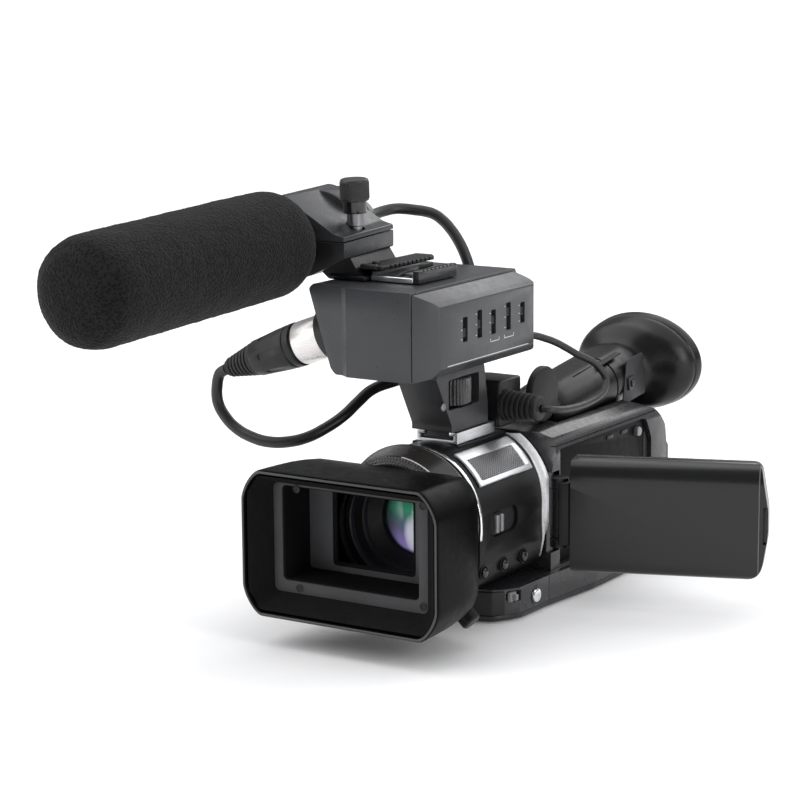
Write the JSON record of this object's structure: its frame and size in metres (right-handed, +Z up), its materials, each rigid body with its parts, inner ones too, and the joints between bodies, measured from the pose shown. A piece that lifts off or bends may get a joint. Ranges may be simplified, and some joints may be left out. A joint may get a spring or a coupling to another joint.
{
  "type": "camcorder",
  "caption": "Hand-held camcorder with a wide lens hood, fold-out screen, tilting viewfinder, clip-on microphone adapter and a shotgun microphone in a foam windscreen.",
  "frame": {"origin": "on the flat underside of the base plate, beside the tripod hole, 130 mm behind the lens hood's rim and straight below the lens axis", "axes": "+Z up; -Y is the way the lens looks, so +Y is towards the eyepiece; +X is the screen side and -X the grip side"},
  "size_m": [0.2263, 0.3476, 0.1873],
  "materials": {
    "hood_plastic": "satin moulded black plastic",
    "inner_matt": "matt dark grey plastic, light absorbing",
    "ring_gloss": "semi-gloss black, fine ribs",
    "lens_glass": "multi-coated optical glass",
    "sensor": "sensor window on a ceramic carrier",
    "bright_trim": "bright plated trim",
    "silver_trim": "satin silver",
    "body_plastic": "dark grey satin paint on plastic",
    "black_plastic": "black moulded plastic",
    "lid_satin": "dark satin screen cover",
    "screen_glass": "unlit screen",
    "board": "printed circuit board",
    "strap_webbing": "woven strap with padded cover",
    "rubber": "soft black rubber",
    "record_red": "red push button",
    "adapter_grey": "mid grey satin paint",
    "knob_black": "knurled black knob on a plated stud",
    "mic_body": "black anodised tube",
    "foam": "open-cell windscreen foam",
    "plug_metal": "nickel shell with black body and boot"
  },
  "bodies": {
    "camera": {"accessory_shoe": "silver_trim", "adapter_cable": "rubber", "adapter_neck": "body_plastic", "adapter_plug": "rubber", "adapter_shell": "adapter_grey", "adapter_side_panel": "adapter_grey", "adapter_top_shoe": "silver_trim", "base_plate": "black_plastic", "battery_pack": "black_plastic", "drum_shell": "ring_gloss", "front_lens": "lens_glass", "hood_mask": "inner_matt", "image_sensor": "sensor", "jack_cap": "rubber", "left_shell": "body_plastic", "lens_barrel": "inner_matt", "lens_hood": "hood_plastic", "main_board": "board", "mic_cable": "rubber", "mic_holder_base": "adapter_grey", "mic_tube": "mic_body", "right_shell": "body_plastic", "side_trim": "silver_trim", "tape_deck": "silver_trim", "trim_crescent": "bright_trim", "windscreen": "foam", "xlr_plug": "plug_metal", "xlr_sockets": "inner_matt"},
    "focus_ring": {"focus_ring": "ring_gloss"},
    "hood_lock_screw": {"hood_lock_screw": "hood_plastic"},
    "lcd_arm": {"lcd_arm": "black_plastic"},
    "lcd_panel": {"lcd_cover": "lid_satin", "lcd_bezel": "body_plastic", "lcd_screen": "screen_glass"},
    "viewfinder": {"viewfinder_tube": "hood_plastic", "eyecup": "rubber", "eyepiece_lens": "lens_glass"},
    "diopter_lever": {"diopter_lever": "black_plastic"},
    "drum_switch": {"drum_switch": "black_plastic"},
    "drum_button_1": {"drum_button_1": "black_plastic"},
    "drum_button_2": {"drum_button_2": "black_plastic"},
    "drum_button_3": {"drum_button_3": "black_plastic"},
    "round_button": {"round_button": "bright_trim"},
    "display_button": {"display_button": "black_plastic"},
    "side_switch": {"side_switch": "black_plastic"},
    "jack_cover": {"jack_cover": "rubber"},
    "zoom_rocker": {"zoom_rocker": "black_plastic"},
    "photo_button": {"photo_button": "silver_trim"},
    "record_button": {"record_button": "record_red"},
    "mode_dial": {"mode_dial": "black_plastic"},
    "cassette_lid": {"cassette_lid": "black_plastic", "hand_strap": "strap_webbing"},
    "clamp_wheel": {"clamp_wheel": "black_plastic"},
    "mic_clamp_jaw": {"mic_clamp_jaw": "adapter_grey"},
    "clamp_knob": {"clamp_knob": "knob_black"},
    "adapter_switch_1": {"adapter_switch_1": "black_plastic"},
    "adapter_switch_2": {"adapter_switch_2": "black_plastic"},
    "adapter_switch_3": {"adapter_switch_3": "black_plastic"},
    "adapter_switch_4": {"adapter_switch_4": "black_plastic"},
    "adapter_switch_5": {"adapter_switch_5": "black_plastic"}
  },
  "joints": [
    {"name": "focus_turn", "type": "hinge", "parent": "camera", "child": "focus_ring", "pos_m": [0, -0.078, 0.0455], "axis": [0, 1, 0], "continuous": true},
    {"name": "hood_screw_turn", "type": "hinge", "parent": "camera", "child": "hood_lock_screw", "pos_m": [0.03218, -0.0874, 0.01549], "axis": [0.7314, 0, -0.682], "continuous": true},
    {"name": "lcd_swing", "type": "hinge", "parent": "camera", "child": "lcd_arm", "pos_m": [0.0366, -0.0115, 0.0412], "axis": [0, 0, 1], "range_deg": [-20, 70]},
    {"name": "lcd_turn", "type": "hinge", "parent": "lcd_arm", "child": "lcd_panel", "pos_m": [0.04241, -0.01109, 0.0412], "axis": [0.9397, 0.342, 0], "range_deg": [0, 180]},
    {"name": "viewfinder_tilt", "type": "hinge", "parent": "camera", "child": "viewfinder", "pos_m": [0.005, 0.03, 0.076], "axis": [1, 0, 0], "range_deg": [0, 60]},
    {"name": "diopter_slide", "type": "slide", "parent": "viewfinder", "child": "diopter_lever", "axis": [0, 0.9903, 0.1392], "range_m": [-0.002, 0.002]},
    {"name": "focus_selector_slide", "type": "slide", "parent": "camera", "child": "drum_switch", "axis": [0, 1, 0], "range_m": [0, 0.0105]},
    {"name": "drum_button_1_press", "type": "slide", "parent": "camera", "child": "drum_button_1", "axis": [-1, 0, 0], "range_m": [0, 0.0008], "stiffness_N_per_m": 400},
    {"name": "drum_button_2_press", "type": "slide", "parent": "camera", "child": "drum_button_2", "axis": [-1, 0, 0], "range_m": [0, 0.0008], "stiffness_N_per_m": 400},
    {"name": "drum_button_3_press", "type": "slide", "parent": "camera", "child": "drum_button_3", "axis": [-1, 0, 0], "range_m": [0, 0.0008], "stiffness_N_per_m": 400},
    {"name": "round_button_press", "type": "slide", "parent": "camera", "child": "round_button", "axis": [-1, 0, 0], "range_m": [0, 0.0008], "stiffness_N_per_m": 400},
    {"name": "display_button_press", "type": "slide", "parent": "camera", "child": "display_button", "axis": [-1, 0, 0], "range_m": [0, 0.0006], "stiffness_N_per_m": 400},
    {"name": "side_switch_slide", "type": "slide", "parent": "camera", "child": "side_switch", "axis": [0, 1, 0], "range_m": [0, 0.002]},
    {"name": "jack_cover_open", "type": "hinge", "parent": "camera", "child": "jack_cover", "pos_m": [0.017, -0.0561, 0.0084], "axis": [0, 0, -1], "range_deg": [0, 80]},
    {"name": "zoom_rock", "type": "hinge", "parent": "camera", "child": "zoom_rocker", "pos_m": [-0.0183, 0.021, 0.0757], "axis": [1, 0, 0], "range_deg": [-5, 5], "stiffness_Nm_per_rad": 0.05},
    {"name": "photo_button_press", "type": "slide", "parent": "camera", "child": "photo_button", "axis": [0, 0, -1], "range_m": [0, 0.0008], "stiffness_N_per_m": 400},
    {"name": "record_press", "type": "slide", "parent": "camera", "child": "record_button", "axis": [0, -1, 0], "range_m": [0, 0.001], "stiffness_N_per_m": 400},
    {"name": "mode_dial_turn", "type": "hinge", "parent": "camera", "child": "mode_dial", "pos_m": [-0.028, 0.102, 0.037], "axis": [0, 1, 0], "range_deg": [0, 60]},
    {"name": "cassette_lid_open", "type": "hinge", "parent": "camera", "child": "cassette_lid", "pos_m": [-0.042, 0.043, 0.0134], "axis": [0, -1, 0], "range_deg": [0, 45]},
    {"name": "clamp_wheel_turn", "type": "hinge", "parent": "camera", "child": "clamp_wheel", "pos_m": [0.0006, -0.046, 0.0976], "axis": [0, 0, 1], "continuous": true},
    {"name": "mic_clamp_open", "type": "hinge", "parent": "camera", "child": "mic_clamp_jaw", "pos_m": [-0.077, -0.078, 0.1616], "axis": [0, -0.999, -0.0436], "range_deg": [0, 75]},
    {"name": "clamp_knob_turn", "type": "hinge", "parent": "mic_clamp_jaw", "child": "clamp_knob", "pos_m": [-0.0356, -0.05952, 0.16241], "axis": [0, -0.0436, 0.999], "continuous": true},
    {"name": "adapter_switch_1_slide", "type": "slide", "parent": "camera", "child": "adapter_switch_1", "axis": [0, 0, 1], "range_m": [-0.0018, 0.0046]},
    {"name": "adapter_switch_2_slide", "type": "slide", "parent": "camera", "child": "adapter_switch_2", "axis": [0, 0, 1], "range_m": [-0.0038, 0.004]},
    {"name": "adapter_switch_3_slide", "type": "slide", "parent": "camera", "child": "adapter_switch_3", "axis": [0, 0, 1], "range_m": [-0.004, 0.0024]},
    {"name": "adapter_switch_4_slide", "type": "slide", "parent": "camera", "child": "adapter_switch_4", "axis": [0, 0, 1], "range_m": [-0.0058, 0.002]},
    {"name": "adapter_switch_5_slide", "type": "slide", "parent": "camera", "child": "adapter_switch_5", "axis": [0, 0, 1], "range_m": [-0.0032, 0.0018]}
  ]
}
